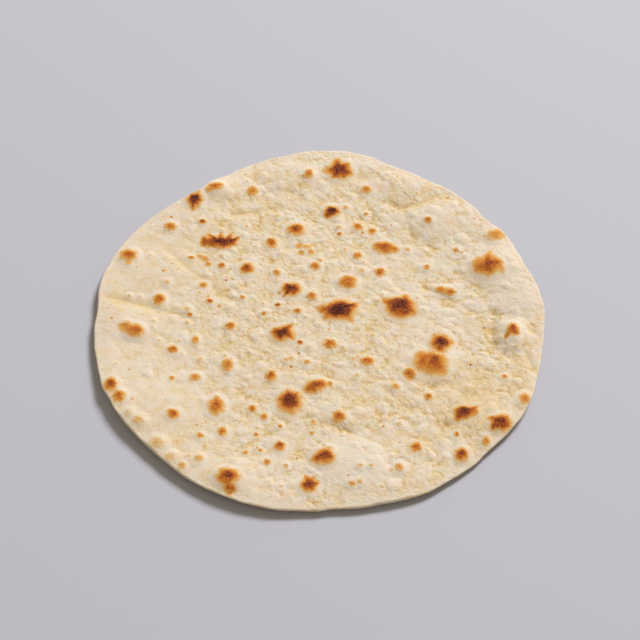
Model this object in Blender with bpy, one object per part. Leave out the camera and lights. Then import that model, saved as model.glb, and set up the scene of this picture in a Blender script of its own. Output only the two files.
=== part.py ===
"""Lavash: one thin round of baked flatbread, blistered on top and slightly cupped towards its rim.

Sizes and places below are in millimetres, measured from the middle of the bread: +X right, +Y back, +Z up.
The mesh is written in metres, with the origin on the resting plane under the middle of the bread.
"""

import math

import bmesh
import bpy
from mathutils import Vector, noise

MM = 0.001

# Outline: the radius at even steps of a turn, counted from +X towards +Y.
RIM_RADII = (
    128.5, 127.5, 125.0, 123.5, 123.0, 127.0, 129.5, 127.0,
    123.5, 123.5, 127.5, 129.5, 128.5, 129.5, 130.5, 129.5,
    131.5, 132.0, 130.0, 130.0, 132.5, 130.0, 131.5, 128.5,
)
RIM_RIPPLE = 0.5
RIM_RIPPLE_LENGTH = 9.0

# Where the rim bulges out, or in, at one place: the angle and half the turn it takes, in degrees, and
# how far out.
BULGES = (
    (3.0, 8.0, 0.8),
    (17.0, 8.0, -1.6),
    (29.0, 4.0, 1.0),
    (36.0, 6.0, -1.3),
    (51.0, 6.0, 0.9),
    (80.0, 9.0, 1.6),
    (99.0, 5.0, -0.9),
    (128.0, 6.0, -1.5),
    (178.0, 7.0, -1.0),
    (203.0, 6.0, 0.7),
    (274.0, 5.0, -1.0),
    (302.0, 8.0, -1.2),
)
FULL_TURN = 360.0

# The sheet of dough.
THICKNESS = 2.5
RIM_THICKNESS = 1.7
RIM_TAPER = 9.0
EDGE_ROUNDING = 0.8
LEAST_THICKNESS = 1.2

# How the sheet lies: flat in the middle, lifted towards the rim.
LIFT_STARTS = 60.0
LIFT_POWER = 2.0
RIM_LIFT = 3.8
RIM_LIFT_SWING = 1.3
SWINGS = 2
SWING_TURN = 0.7
RIM_WAVE = 0.5
RIM_WAVES = 9
SETTLE = 0.1

# The underside: shallow hollows between the places it rests on, and a flat middle.
HOLLOW_SIZE = 17.0
HOLLOW_HEIGHT = 1.7
HOLLOW_PLACE = 310.0
FLAT_MIDDLE = (10.0, 30.0)

# How roundly a mound ends: swells keep a fuller top than blisters.
SWELL_POWER = 1.3

# Broad swells, which bend the whole sheet: x, y, half width, half depth, height, and how far each
# smooths the pebbled skin.
SWELLS = (
    (66.0, 73.0, 22.0, 19.0, 2.3, 0.6),
    (100.0, 37.0, 22.0, 21.0, 2.1, 0.6),
    (50.0, 100.0, 22.0, 15.0, 1.4, 0.3),
    (113.0, 12.0, 16.0, 16.0, 1.2, 0.5),
    (110.0, -13.0, 12.0, 14.0, 2.6, 0.5),
    (66.0, -33.0, 20.0, 14.0, 0.9, 0.0),
    (12.0, -66.0, 18.0, 13.0, 1.0, 0.0),
    (18.0, -100.0, 26.0, 21.0, 1.9, 0.65),
    (-107.0, -6.0, 19.0, 15.0, 1.3, 0.4),
    (-94.0, 36.0, 25.0, 19.0, 1.2, 0.4),
    (-62.0, 98.0, 20.0, 12.0, 1.6, 0.3),
    (-15.0, 108.0, 24.0, 13.0, 1.4, 0.2),
    (-85.0, -62.0, 26.0, 20.0, 1.2, 0.3),
    (-46.0, -108.0, 18.0, 13.0, 1.4, 0.3),
    (88.0, -70.0, 20.0, 16.0, 1.4, 0.1),
)

# Valleys pressed into the top: the two ends of each, its half width and its depth.
VALLEYS = (
    (42.0, 88.0, 48.0, 83.5, 5.0, 0.6),
    (48.0, 83.5, 57.0, 83.0, 5.0, 0.8),
    (57.0, 83.0, 71.0, 90.0, 5.0, 0.7),
    (51.0, 80.0, 54.0, 62.0, 5.0, 0.5),
    (54.0, 62.0, 68.0, 51.0, 5.0, 0.6),
    (80.0, 46.0, 82.0, 30.0, 5.0, 0.5),
    (82.0, 30.0, 94.0, 20.0, 5.0, 0.5),
    (62.0, 22.0, 78.0, 12.0, 4.0, 0.5),
    (78.0, 12.0, 97.0, -3.0, 4.0, 0.5),
    (99.0, 2.0, 98.0, -22.0, 6.0, 1.1),
    (98.0, -22.0, 108.0, -30.0, 4.0, 0.9),
    (120.0, -11.0, 124.0, -14.0, 5.0, 0.8),
    (117.0, -28.0, 120.0, -38.0, 5.0, 0.9),
    (50.0, -42.0, 57.0, -49.0, 5.0, 0.7),
    (57.0, -49.0, 72.0, -47.0, 5.0, 0.5),
    (36.0, -50.0, 50.0, -64.0, 5.0, 0.6),
    (-4.0, -71.0, 14.0, -77.0, 5.0, 0.5),
    (14.0, -77.0, 36.0, -89.0, 5.0, 0.6),
    (36.0, -89.0, 40.0, -112.0, 5.0, 0.4),
    (-52.0, 79.0, -38.0, 81.0, 6.0, 1.1),
    (-38.0, 81.0, -24.0, 84.0, 5.0, 0.7),
    (-90.0, 50.0, -78.0, 38.0, 6.0, 0.6),
    (-78.0, 38.0, -52.0, 14.0, 6.0, 0.4),
    (-122.0, 13.0, -100.0, 8.0, 7.0, 0.9),
    (-100.0, 8.0, -74.0, 0.0, 6.0, 0.6),
)

# Blisters with a toasted crown: x, y, and the half width and half depth of the crown.
BLISTERS = (
    (11.9, 6.0, 7.2, 5.4),
    (46.2, 8.0, 6.8, 6.4),
    (12.5, 112.5, 5.5, 5.5),
    (98.5, 35.5, 6.0, 5.5),
    (62.8, -32.5, 8.5, 7.6),
    (-60.0, 56.5, 5.0, 3.6),
    (-20.5, -11.5, 4.8, 4.2),
    (-16.5, -59.0, 6.0, 6.5),
    (69.0, -18.0, 5.0, 5.2),
    (-16.5, 21.0, 4.3, 4.0),
    (-75.5, 89.0, 4.0, 4.0),
    (-14.0, 66.5, 4.8, 4.0),
    (7.5, 81.0, 4.0, 3.6),
    (-42.5, 36.5, 3.7, 3.7),
    (-2.0, -48.0, 4.5, 4.3),
    (3.0, -96.0, 5.0, 4.6),
    (-5.5, -114.5, 3.8, 3.8),
    (-48.5, -110.5, 5.5, 4.6),
    (79.5, -67.5, 4.2, 3.6),
    (99.5, -75.0, 4.8, 4.3),
    (110.0, -11.5, 2.8, 4.0),
    (-116.0, -50.0, 3.3, 4.0),
    (77.0, -95.0, 3.2, 3.8),
    (-104.5, -11.5, 4.5, 3.8),
    (-112.5, 44.5, 4.5, 4.2),
    (-63.0, 98.5, 4.0, 3.2),
    (39.0, 52.5, 6.0, 3.8),
    (16.5, 26.5, 4.8, 3.8),
    (-57.0, -62.5, 4.2, 5.0),
    (104.5, 59.5, 5.0, 4.2),
    (113.5, -59.0, 3.0, 3.5),
    (73.5, 19.5, 4.8, 2.6),
)
BLISTER_SPREAD = 1.7
BLISTER_SKIRT = 2.0
BLISTER_STEEPNESS = 0.16
HIGHEST_BLISTER = 1.5
BLISTER_POWER = 1.8

# Pebbling: shallow cells all over, fainter where the dough is smooth.
PEBBLE_SIZE = 10.0
PEBBLE_HEIGHT = 0.6
CELL_LEVEL = 0.35
SMOOTH_SIDE = (-95.0, -35.0)
SMOOTH_SHARE = 0.45

# Fineness: even rings of triangles in each face, and rows of faces round the rim.
RINGS = 28
RIM_ROWS = 2
HEXAGON_SIDES = 6

BAKED_DOUGH = (0.79, 0.60, 0.38, 1.0)
DOUGH_ROUGHNESS = 0.85


def clear_scene():
    """Remove whatever the scene holds."""
    for thing in list(bpy.data.objects):
        bpy.data.objects.remove(thing)


def smooth_step(start, end, value):
    """0 at start, 1 at end, eased between."""
    share = min(max((value - start) / (end - start), 0.0), 1.0)
    return share * share * (3.0 - 2.0 * share)


def rim_bulge(angle):
    """How far the rim bulges out at an angle."""
    out = 0.0
    for middle, half_turn, height in BULGES:
        aside = (math.degrees(angle) - middle + FULL_TURN / 2.0) % FULL_TURN - FULL_TURN / 2.0
        out += height * max(1.0 - (aside / half_turn) ** 2, 0.0) ** 2
    return out


def rim_radius(angle):
    """The outline's radius at an angle: a smooth closed curve through RIM_RADII, with bulges and a ripple."""
    count = len(RIM_RADII)
    place = angle / math.tau * count
    index = math.floor(place)
    share = place - index
    before, start, end, after = (RIM_RADII[(index + step) % count] for step in (-1, 0, 1, 2))
    tangent = (end - before) / 2.0
    next_tangent = (after - start) / 2.0
    rise = end - start
    curve = start + share * tangent
    curve += share**2 * (3.0 * rise - 2.0 * tangent - next_tangent)
    curve += share**3 * (tangent + next_tangent - 2.0 * rise)
    around = Vector((math.cos(angle), math.sin(angle), 0.0)) * (start / RIM_RIPPLE_LENGTH)
    return curve + rim_bulge(angle) + RIM_RIPPLE * noise.noise(around)


def mound(x, y, centre_x, centre_y, half_width, half_depth, power=SWELL_POWER):
    """A rounded mound of height 1 that ends on an ellipse."""
    across = (x - centre_x) / half_width
    along = (y - centre_y) / half_depth
    left = 1.0 - across * across - along * along
    return max(left, 0.0) ** power


def rim_lift(x, y):
    """How far the sheet rises towards its rim, a little more on some sides than on others."""
    angle = math.atan2(y, x)
    away = math.hypot(x, y) - LIFT_STARTS
    share = max(away / (rim_radius(angle) - LIFT_STARTS), 0.0) ** LIFT_POWER
    swing = RIM_LIFT_SWING * math.sin(SWINGS * angle + SWING_TURN)
    wave = RIM_WAVE * math.sin(RIM_WAVES * angle)
    return share * (RIM_LIFT + swing + wave)


def swell_height(x, y):
    """The broad swells that bend the whole sheet."""
    return sum(height * mound(x, y, *place) for *place, height, _ in SWELLS)


def valley_depth(x, y):
    """The valleys pressed into the top."""
    depth = 0.0
    for start_x, start_y, end_x, end_y, half_width, deepest in VALLEYS:
        run = Vector((end_x - start_x, end_y - start_y))
        offset = Vector((x - start_x, y - start_y))
        share = min(max(offset.dot(run) / run.length_squared, 0.0), 1.0)
        distance = (offset - run * share).length
        depth = max(depth, deepest * max(1.0 - distance / half_width, 0.0) ** 2)
    return depth


def blister_height(x, y):
    """The toasted blisters."""
    height = 0.0
    for centre_x, centre_y, crown_width, crown_depth in BLISTERS:
        half_width = BLISTER_SPREAD * crown_width + BLISTER_SKIRT
        half_depth = BLISTER_SPREAD * crown_depth + BLISTER_SKIRT
        peak = min(BLISTER_STEEPNESS * (half_width + half_depth) / 2.0, HIGHEST_BLISTER)
        crown = mound(x, y, centre_x, centre_y, half_width, half_depth, BLISTER_POWER)
        height = max(height, peak * crown)
    return height


def cells(x, y, size, place=0.0):
    """Rounded cells between about -0.5 and CELL_LEVEL, divided by creases."""
    nearest = noise.voronoi(Vector((x / size + place, y / size, place)))[0][0]
    return CELL_LEVEL - nearest**2


def pebble_height(x, y):
    """The pebbled skin, fainter on the smooth side and on the smooth swells."""
    strength = SMOOTH_SHARE + (1.0 - SMOOTH_SHARE) * smooth_step(*SMOOTH_SIDE, x)
    for *place, _, calm in SWELLS:
        strength *= 1.0 - calm * math.sqrt(mound(x, y, *place))
    return PEBBLE_HEIGHT * strength * cells(x, y, PEBBLE_SIZE)


def underside_at(x, y):
    """Height of the underside: hollow under the swells and between the places where it rests."""
    sheet = rim_lift(x, y) + swell_height(x, y)
    hollow = HOLLOW_HEIGHT * cells(x, y, HOLLOW_SIZE, HOLLOW_PLACE)
    hollow *= smooth_step(*FLAT_MIDDLE, math.hypot(x, y))
    return max(sheet + hollow - SETTLE, 0.0)


def top_at(x, y, inset):
    """Height of the top, at a place that lies inset from the rim."""
    thickness = RIM_THICKNESS + (THICKNESS - RIM_THICKNESS) * smooth_step(0.0, RIM_TAPER, inset)
    relief = blister_height(x, y) + pebble_height(x, y) - valley_depth(x, y)
    relief *= smooth_step(-RIM_TAPER, RIM_TAPER, inset)
    sheet = rim_lift(x, y) + swell_height(x, y)
    return max(sheet + thickness + relief, underside_at(x, y) + LEAST_THICKNESS)


def on_round(flat):
    """Carry a point of the unit hexagon to the round: its share of the radius and its angle."""
    side_angle = math.tau / HEXAGON_SIDES
    side = round(math.atan2(flat.y, flat.x) / side_angle) * side_angle
    outwards = flat.x * math.cos(side) + flat.y * math.sin(side)
    sideways = flat.y * math.cos(side) - flat.x * math.sin(side)
    share = outwards / math.cos(side_angle / 2.0)
    if share == 0.0:
        return 0.0, 0.0
    return share, side + sideways / (share * math.sin(side_angle / 2.0)) * side_angle / 2.0


def shaped(point):
    """Turn a point of the flat plate, whose height runs from 0 to 1, into its place on the bread."""
    share, angle = on_round(point)
    edge = share > 1.0 - 0.5 / RINGS
    turn = math.pi * point.z
    bulge = EDGE_ROUNDING * (1.0 - math.sin(turn)) if edge else EDGE_ROUNDING * share
    radius = rim_radius(angle) * share - bulge
    x = radius * math.cos(angle)
    y = radius * math.sin(angle)
    inset = rim_radius(angle) - radius
    level = (1.0 - math.cos(turn)) / 2.0
    bottom = underside_at(x, y)
    return Vector((x, y, bottom + level * (top_at(x, y, inset) - bottom)))


def flat_plate():
    """A hexagonal plate of even triangles, 1 thick, with its rim in rows."""
    plate = bmesh.new()
    bmesh.ops.create_circle(plate, cap_ends=True, cap_tris=True, segments=HEXAGON_SIDES, radius=1.0)
    bmesh.ops.subdivide_edges(plate, edges=plate.edges[:], cuts=RINGS - 1, use_grid_fill=True)
    lifted = bmesh.ops.extrude_face_region(plate, geom=plate.faces[:])["geom"]
    upper = [item for item in lifted if isinstance(item, bmesh.types.BMVert)]
    bmesh.ops.translate(plate, verts=upper, vec=(0.0, 0.0, 1.0))
    uprights = [edge for edge in plate.edges if edge.verts[0].co.z != edge.verts[1].co.z]
    bmesh.ops.subdivide_edges(plate, edges=uprights, cuts=RIM_ROWS - 1)
    bmesh.ops.recalc_face_normals(plate, faces=plate.faces[:])
    return plate


def centre_on_origin(bread):
    """Move the bread so that the middle of its box stands over the origin."""
    xs = [vertex.co.x for vertex in bread.verts]
    ys = [vertex.co.y for vertex in bread.verts]
    shift = Vector((-(min(xs) + max(xs)) / 2.0, -(min(ys) + max(ys)) / 2.0, 0.0))
    bmesh.ops.translate(bread, verts=bread.verts[:], vec=shift)


def dough_material():
    """Pale baked dough."""
    material = bpy.data.materials.new("baked_dough")
    material.use_nodes = True
    shader = material.node_tree.nodes["Principled BSDF"]
    shader.inputs["Base Color"].default_value = BAKED_DOUGH
    shader.inputs["Roughness"].default_value = DOUGH_ROUGHNESS
    shader.inputs["Metallic"].default_value = 0.0
    return material


def make_lavash():
    """Shape the plate into the bread and put it in the scene."""
    bread = flat_plate()
    for vertex in bread.verts:
        vertex.co = shaped(vertex.co)
    centre_on_origin(bread)
    bmesh.ops.scale(bread, vec=(MM, MM, MM), verts=bread.verts[:])
    bmesh.ops.triangulate(bread, faces=bread.faces[:])
    mesh = bpy.data.meshes.new("lavash")
    bread.to_mesh(mesh)
    bread.free()
    mesh.shade_smooth()
    mesh.materials.append(dough_material())
    lavash = bpy.data.objects.new("lavash", mesh)
    bpy.context.scene.collection.objects.link(lavash)


clear_scene()
make_lavash()
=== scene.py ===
"""Looks of the lavash: a thin round of baked flatbread with toasted blisters, lying on a pale floor.

Sizes and places of the bread are in millimetres, measured from its middle: +X right, +Y back, +Z up.
Meshes are written in metres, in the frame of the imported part.
"""

import logging
import math
import random
from dataclasses import dataclass
from enum import Enum
from typing import Sequence

import bmesh
import bpy
import numpy as np
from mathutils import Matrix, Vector, noise


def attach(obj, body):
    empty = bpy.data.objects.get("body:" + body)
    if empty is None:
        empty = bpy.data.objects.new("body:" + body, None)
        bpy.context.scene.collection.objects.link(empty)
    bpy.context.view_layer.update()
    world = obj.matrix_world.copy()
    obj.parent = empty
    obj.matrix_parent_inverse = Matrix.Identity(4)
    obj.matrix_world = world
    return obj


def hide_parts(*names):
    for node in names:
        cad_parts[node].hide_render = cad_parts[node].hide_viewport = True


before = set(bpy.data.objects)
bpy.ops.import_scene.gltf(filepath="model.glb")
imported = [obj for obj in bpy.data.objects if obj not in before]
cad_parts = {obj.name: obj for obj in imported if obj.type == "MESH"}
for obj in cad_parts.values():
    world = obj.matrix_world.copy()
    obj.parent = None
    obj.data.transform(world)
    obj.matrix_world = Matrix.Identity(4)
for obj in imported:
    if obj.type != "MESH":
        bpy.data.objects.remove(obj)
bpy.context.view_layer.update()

LOG = logging.getLogger("lavash")
MM = 0.001
NODE = "lavash"
BODY = "root"
MOUND_POWER = 1.3
CELL_LEVEL = 0.35
SCATTER_POWER = 2.5
HEXAGON_SIDES = 6
HALF_TURN = 180.0
FULL_TURN = 360.0
SCREEN_STEPS = 255.0
SCREEN_OFFSET = 0.055
SCREEN_POWER = 2.4
CELL_SMOOTHNESS = 0.4

Colour = tuple[float, float, float]
Span = tuple[float, float]


def on_screen(red: int, green: int, blue: int) -> Colour:
    """Turn a colour as a screen shows it, in steps of 255, into amounts of light.

    Args:
        red: its red.
        green: its green.
        blue: its blue.

    Returns:
        The same colour in linear light.
    """
    shares = (step / SCREEN_STEPS for step in (red, green, blue))
    return tuple(((share + SCREEN_OFFSET) / (1.0 + SCREEN_OFFSET)) ** SCREEN_POWER for share in shares)


# ---------------------------------------------------------------- shader maths


class Value:
    """A number, colour or vector inside a material. Python's operators work on the numbers."""

    def __init__(self, sheet: "NodeSheet", socket: bpy.types.NodeSocket) -> None:
        """Hold an output socket of a sheet."""
        self.sheet = sheet
        self.socket = socket

    def __add__(self, other: "Operand") -> "Value":
        """Sum."""
        return self.sheet.math("ADD", self, other)

    def __radd__(self, other: float) -> "Value":
        """Sum with a plain number on the left."""
        return self.sheet.math("ADD", other, self)

    def __sub__(self, other: "Operand") -> "Value":
        """Difference."""
        return self.sheet.math("SUBTRACT", self, other)

    def __rsub__(self, other: float) -> "Value":
        """Difference from a plain number."""
        return self.sheet.math("SUBTRACT", other, self)

    def __mul__(self, other: "Operand") -> "Value":
        """Product."""
        return self.sheet.math("MULTIPLY", self, other)

    def __rmul__(self, other: float) -> "Value":
        """Product with a plain number on the left."""
        return self.sheet.math("MULTIPLY", other, self)

    def __pow__(self, other: "Operand") -> "Value":
        """Power."""
        return self.sheet.math("POWER", self, other)

    def __rpow__(self, other: float) -> "Value":
        """Power of a plain number."""
        return self.sheet.math("POWER", other, self)


Operand = Value | float


@dataclass(frozen=True)
class Cloud:
    """Cloudy noise in a finish: the size of a cloud, octaves of finer ones and how strong those are."""

    grain: float
    detail: float = 2.0
    roughness: float = 0.5


class NodeSheet:
    """The node tree of one material, filled through a few short methods."""

    def __init__(self, name: str) -> None:
        """Start a material with an empty tree.

        Args:
            name: the material's name.
        """
        self.material = bpy.data.materials.new(name)
        self.material.use_nodes = True
        self.tree = self.material.node_tree
        self.tree.nodes.clear()

    def node(
        self, kind: str, settings: dict | None = None, inputs: dict | None = None
    ) -> bpy.types.Node:
        """Add a node.

        Args:
            kind: the node's type.
            settings: its own settings, set first; "stops" fills a colour ramp.
            inputs: a plain value or a Value for each input, by name or by number.

        Returns:
            The node.
        """
        made = self.tree.nodes.new(kind)
        for name, setting in (settings or {}).items():
            if name == "stops":
                self._fill_ramp(made.color_ramp, setting)
            else:
                setattr(made, name, setting)
        for name, given in (inputs or {}).items():
            if isinstance(given, Value):
                self.tree.links.new(given.socket, made.inputs[name])
            else:
                made.inputs[name].default_value = given
        return made

    @staticmethod
    def _fill_ramp(ramp: bpy.types.ColorRamp, stops: Sequence[tuple[float, Colour]]) -> None:
        """Give a colour ramp its stops.

        Args:
            ramp: the ramp.
            stops: the position and colour of each stop, in order.
        """
        while len(ramp.elements) < len(stops):
            ramp.elements.new(1.0)
        for element, (position, colour) in zip(ramp.elements, stops):
            element.position = position
            element.color = (*colour, 1.0)

    def value(self, node: bpy.types.Node, output: str | int = 0) -> Value:
        """Wrap one output of a node."""
        return Value(self, node.outputs[output])

    def math(self, operation: str, *operands: Operand) -> Value:
        """Work out numbers with a Math node."""
        made = self.node("ShaderNodeMath", {"operation": operation}, dict(enumerate(operands)))
        return self.value(made)

    def vector(
        self, operation: str, *operands: "Operand | Colour", scale: Operand | None = None
    ) -> Value:
        """Work out vectors with a Vector Math node.

        Args:
            operation: the node's operation.
            operands: the vectors.
            scale: the factor of a SCALE.

        Returns:
            The vector, or the number of a LENGTH or DOT_PRODUCT.
        """
        inputs: dict = dict(enumerate(operands))
        if scale is not None:
            inputs["Scale"] = scale
        made = self.node("ShaderNodeVectorMath", {"operation": operation}, inputs)
        return self.value(made, "Value" if operation in ("LENGTH", "DOT_PRODUCT") else "Vector")

    def mix(self, share: Operand, first: "Value | Colour", second: "Value | Colour") -> Value:
        """Mix two colours.

        Args:
            share: how much of the second, from 0 to 1.
            first: the colour at 0.
            second: the colour at 1.

        Returns:
            The mixed colour.
        """
        colours = [given if isinstance(given, Value) else (*given, 1.0) for given in (first, second)]
        made = self.node(
            "ShaderNodeMix",
            {"data_type": "RGBA"},
            {"Factor": share, "A": colours[0], "B": colours[1]},
        )
        return self.value(made, "Result")

    def ease(self, given: Operand, start: float, end: float) -> Value:
        """Ease a number from 0 at start to 1 at end.

        Args:
            given: the number.
            start: where it still gives 0.
            end: where it gives 1.

        Returns:
            The eased number.
        """
        made = self.node(
            "ShaderNodeMapRange",
            {"interpolation_type": "SMOOTHSTEP"},
            {"Value": given, "From Min": start, "From Max": end},
        )
        return self.value(made)

    def clouds(self, place: Value, cloud: Cloud, output: str = "Fac") -> Value:
        """Cloudy noise between 0 and 1.

        Args:
            place: where it is read.
            cloud: the noise, with its size in the units of place.
            output: "Fac" for a number, or "Color" for three of them.

        Returns:
            The noise.
        """
        inputs = {
            "Vector": place,
            "Scale": 1.0 / cloud.grain,
            "Detail": cloud.detail,
            "Roughness": cloud.roughness,
        }
        return self.value(self.node("ShaderNodeTexNoise", inputs=inputs), output)

    def swing(self, place: Value, cloud: Cloud) -> Value:
        """Cloudy noise between -0.5 and 0.5."""
        return self.clouds(place, cloud) - 0.5

    def cells(self, place: Value, grain: float) -> Value:
        """How far the middle of the nearest cell is, in sizes of a cell.

        Args:
            place: where it is read, in millimetres.
            grain: the size of a cell, in millimetres.

        Returns:
            The distance, from 0 in the middle of a cell to about 1 on the creases between cells.
        """
        made = self.node(
            "ShaderNodeTexVoronoi",
            {"feature": "SMOOTH_F1"},
            {"Vector": place, "Scale": 1.0 / grain, "Smoothness": CELL_SMOOTHNESS},
        )
        return self.value(made, "Distance")

    def attribute(self, name: str, output: str) -> Value:
        """Read one of the mesh's own attributes."""
        return self.value(self.node("ShaderNodeAttribute", {"attribute_name": name}), output)

    def finish(self, shader: bpy.types.Node) -> bpy.types.Material:
        """Join a shader to the output.

        Args:
            shader: the node whose first output is the surface.

        Returns:
            The material.
        """
        self.node("ShaderNodeOutputMaterial", inputs={"Surface": Value(self, shader.outputs[0])})
        return self.material


# ---------------------------------------------------------------- what marks the bread


@dataclass(frozen=True)
class Bulge:
    """A bulge of the rim: at which angle, how far to each side of it, in degrees, and how far out."""

    angle: float
    half_turn: float
    out: float


@dataclass(frozen=True)
class Swell:
    """A broad swell that bends the whole sheet of dough, and how much of the pebbled skin it smooths."""

    x: float
    y: float
    half_width: float
    half_depth: float
    height: float
    calm: float = 0.0


@dataclass(frozen=True)
class Valley:
    """A valley pressed into the top, from one end to the other."""

    start_x: float
    start_y: float
    end_x: float
    end_y: float
    half_width: float
    depth: float


@dataclass(frozen=True)
class Spot:
    """A toasted crown on a blister: its place and size, how dark it is and its turn, in degrees."""

    x: float
    y: float
    half_width: float
    half_depth: float
    burn: float
    turn: float = 0.0


def spot_table(*rows: tuple[float, ...]) -> tuple[Spot, ...]:
    """Make spots of rows that give x, y, half width, half depth, burn and, where it is turned, turn."""
    return tuple(Spot(*row) for row in rows)


@dataclass(frozen=True)
class Rise:
    """How blisters rise under spots: their reach past the spot, steepness, height, power and moat."""

    spread: float
    skirt: float
    steepness: float
    highest: float
    power: float
    moat: float = 0.0


@dataclass(frozen=True)
class DustingAndShade:
    """A patch of the dough dusted whiter than the rest; with a share below 0, a darker patch of painted
    shade.
    """

    x: float
    y: float
    half_width: float
    half_depth: float
    share: float


@dataclass(frozen=True)
class Grain:
    """One size of knobs or crinkles in the skin."""

    size: float
    height: float
    place: float


@dataclass(frozen=True)
class Wrinkles:
    """A patch of slanting wrinkles in the skin."""

    x: float
    y: float
    half_width: float
    half_depth: float
    length: float
    spacing: float
    height: float
    place: float


class Face(Enum):
    """The two faces of the sheet, by the height of their points in the flat plate."""

    UNDERSIDE = 0.0
    TOP = 1.0


# Radii of the outline, at even steps of a turn from +X towards +Y.
RIM_RADII = (
    128.5, 127.5, 125.0, 123.5, 123.0, 127.0, 129.5, 127.0,
    123.5, 123.5, 127.5, 129.5, 128.5, 129.5, 130.5, 129.5,
    131.5, 132.0, 130.0, 130.0, 132.5, 130.0, 131.5, 128.5,
)

# Where the rim bulges out, or in.
BULGES = (
    Bulge(3.0, 8.0, 0.8),
    Bulge(17.0, 8.0, -1.6),
    Bulge(29.0, 4.0, 1.0),
    Bulge(36.0, 6.0, -1.3),
    Bulge(51.0, 6.0, 0.9),
    Bulge(80.0, 9.0, 1.6),
    Bulge(99.0, 5.0, -0.9),
    Bulge(128.0, 6.0, -1.5),
    Bulge(178.0, 7.0, -1.0),
    Bulge(203.0, 6.0, 0.7),
    Bulge(274.0, 5.0, -1.0),
    Bulge(302.0, 8.0, -1.2),
)

SWELLS = (
    Swell(66.0, 73.0, 22.0, 19.0, 2.3, 0.6),
    Swell(100.0, 37.0, 22.0, 21.0, 2.1, 0.6),
    Swell(50.0, 100.0, 22.0, 15.0, 1.4, 0.3),
    Swell(113.0, 12.0, 16.0, 16.0, 1.2, 0.5),
    Swell(110.0, -13.0, 12.0, 14.0, 2.6, 0.5),
    Swell(66.0, -33.0, 20.0, 14.0, 0.9, 0.0),
    Swell(12.0, -66.0, 18.0, 13.0, 1.0, 0.0),
    Swell(18.0, -100.0, 26.0, 21.0, 1.9, 0.65),
    Swell(-107.0, -6.0, 19.0, 15.0, 1.3, 0.4),
    Swell(-94.0, 36.0, 25.0, 19.0, 1.2, 0.4),
    Swell(-62.0, 98.0, 20.0, 12.0, 1.6, 0.3),
    Swell(-15.0, 108.0, 24.0, 13.0, 1.4, 0.2),
    Swell(-85.0, -62.0, 26.0, 20.0, 1.2, 0.3),
    Swell(-46.0, -108.0, 18.0, 13.0, 1.4, 0.3),
    Swell(88.0, -70.0, 20.0, 16.0, 1.4, 0.1),
)

VALLEYS = (
    Valley(42.0, 88.0, 48.0, 83.5, 5.0, 0.6),
    Valley(48.0, 83.5, 57.0, 83.0, 5.0, 0.8),
    Valley(57.0, 83.0, 71.0, 90.0, 5.0, 0.7),
    Valley(51.0, 80.0, 54.0, 62.0, 5.0, 0.5),
    Valley(54.0, 62.0, 68.0, 51.0, 5.0, 0.6),
    Valley(80.0, 46.0, 82.0, 30.0, 5.0, 0.5),
    Valley(82.0, 30.0, 94.0, 20.0, 5.0, 0.5),
    Valley(62.0, 22.0, 78.0, 12.0, 4.0, 0.5),
    Valley(78.0, 12.0, 97.0, -3.0, 4.0, 0.5),
    Valley(99.0, 2.0, 98.0, -22.0, 6.0, 1.1),
    Valley(98.0, -22.0, 108.0, -30.0, 4.0, 0.9),
    Valley(120.0, -11.0, 124.0, -14.0, 5.0, 0.8),
    Valley(117.0, -28.0, 120.0, -38.0, 5.0, 0.9),
    Valley(50.0, -42.0, 57.0, -49.0, 5.0, 0.7),
    Valley(57.0, -49.0, 72.0, -47.0, 5.0, 0.5),
    Valley(36.0, -50.0, 50.0, -64.0, 5.0, 0.6),
    Valley(-4.0, -71.0, 14.0, -77.0, 5.0, 0.5),
    Valley(14.0, -77.0, 36.0, -89.0, 5.0, 0.6),
    Valley(36.0, -89.0, 40.0, -112.0, 5.0, 0.4),
    Valley(-52.0, 79.0, -38.0, 81.0, 6.0, 1.1),
    Valley(-38.0, 81.0, -24.0, 84.0, 5.0, 0.7),
    Valley(-90.0, 50.0, -78.0, 38.0, 6.0, 0.6),
    Valley(-78.0, 38.0, -52.0, 14.0, 6.0, 0.4),
    Valley(-122.0, 13.0, -100.0, 8.0, 7.0, 0.9),
    Valley(-100.0, 8.0, -74.0, 0.0, 6.0, 0.6),
)

# Whiter dusted patches; the three with shares below 0 are painted shade: darker on the left, at the
# front-left rim and between swells at the front right.
DUSTINGS_AND_SHADES = (
    DustingAndShade(-112.0, -12.0, 20.0, 16.0, 0.5),
    DustingAndShade(19.0, -100.0, 32.0, 24.0, 1.2),
    DustingAndShade(-12.0, -110.0, 24.0, 14.0, 0.6),
    DustingAndShade(66.0, 75.0, 22.0, 16.0, 0.6),
    DustingAndShade(98.0, 41.0, 22.0, 20.0, 0.8),
    DustingAndShade(112.0, 14.0, 20.0, 26.0, 1.1),
    DustingAndShade(110.0, -13.0, 14.0, 12.0, 0.8),
    DustingAndShade(10.0, 118.0, 44.0, 13.0, 0.7),
    DustingAndShade(75.0, 20.0, 50.0, 70.0, 0.4),
    DustingAndShade(84.0, -60.0, 36.0, 34.0, -0.9),
    DustingAndShade(-78.0, -88.0, 40.0, 26.0, -0.25),
    DustingAndShade(-96.0, 20.0, 34.0, 40.0, -0.15),
)

KNOBS = (Grain(4.4, 0.25, 2.0), Grain(2.5, 0.3, 5.0))
CRINKLES = (Grain(5.0, 0.15, 31.0), Grain(2.2, 0.25, 37.0))
WRINKLES = (
    Wrinkles(84.0, 0.0, 36.0, 30.0, 22.0, 5.0, 0.6, 41.0),
    Wrinkles(55.0, -80.0, 34.0, 26.0, 18.0, 5.5, 0.6, 43.0),
    Wrinkles(-20.0, 88.0, 40.0, 20.0, 18.0, 5.5, 0.5, 47.0),
    Wrinkles(-60.0, -20.0, 40.0, 40.0, 26.0, 6.0, 0.4, 53.0),
)

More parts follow.
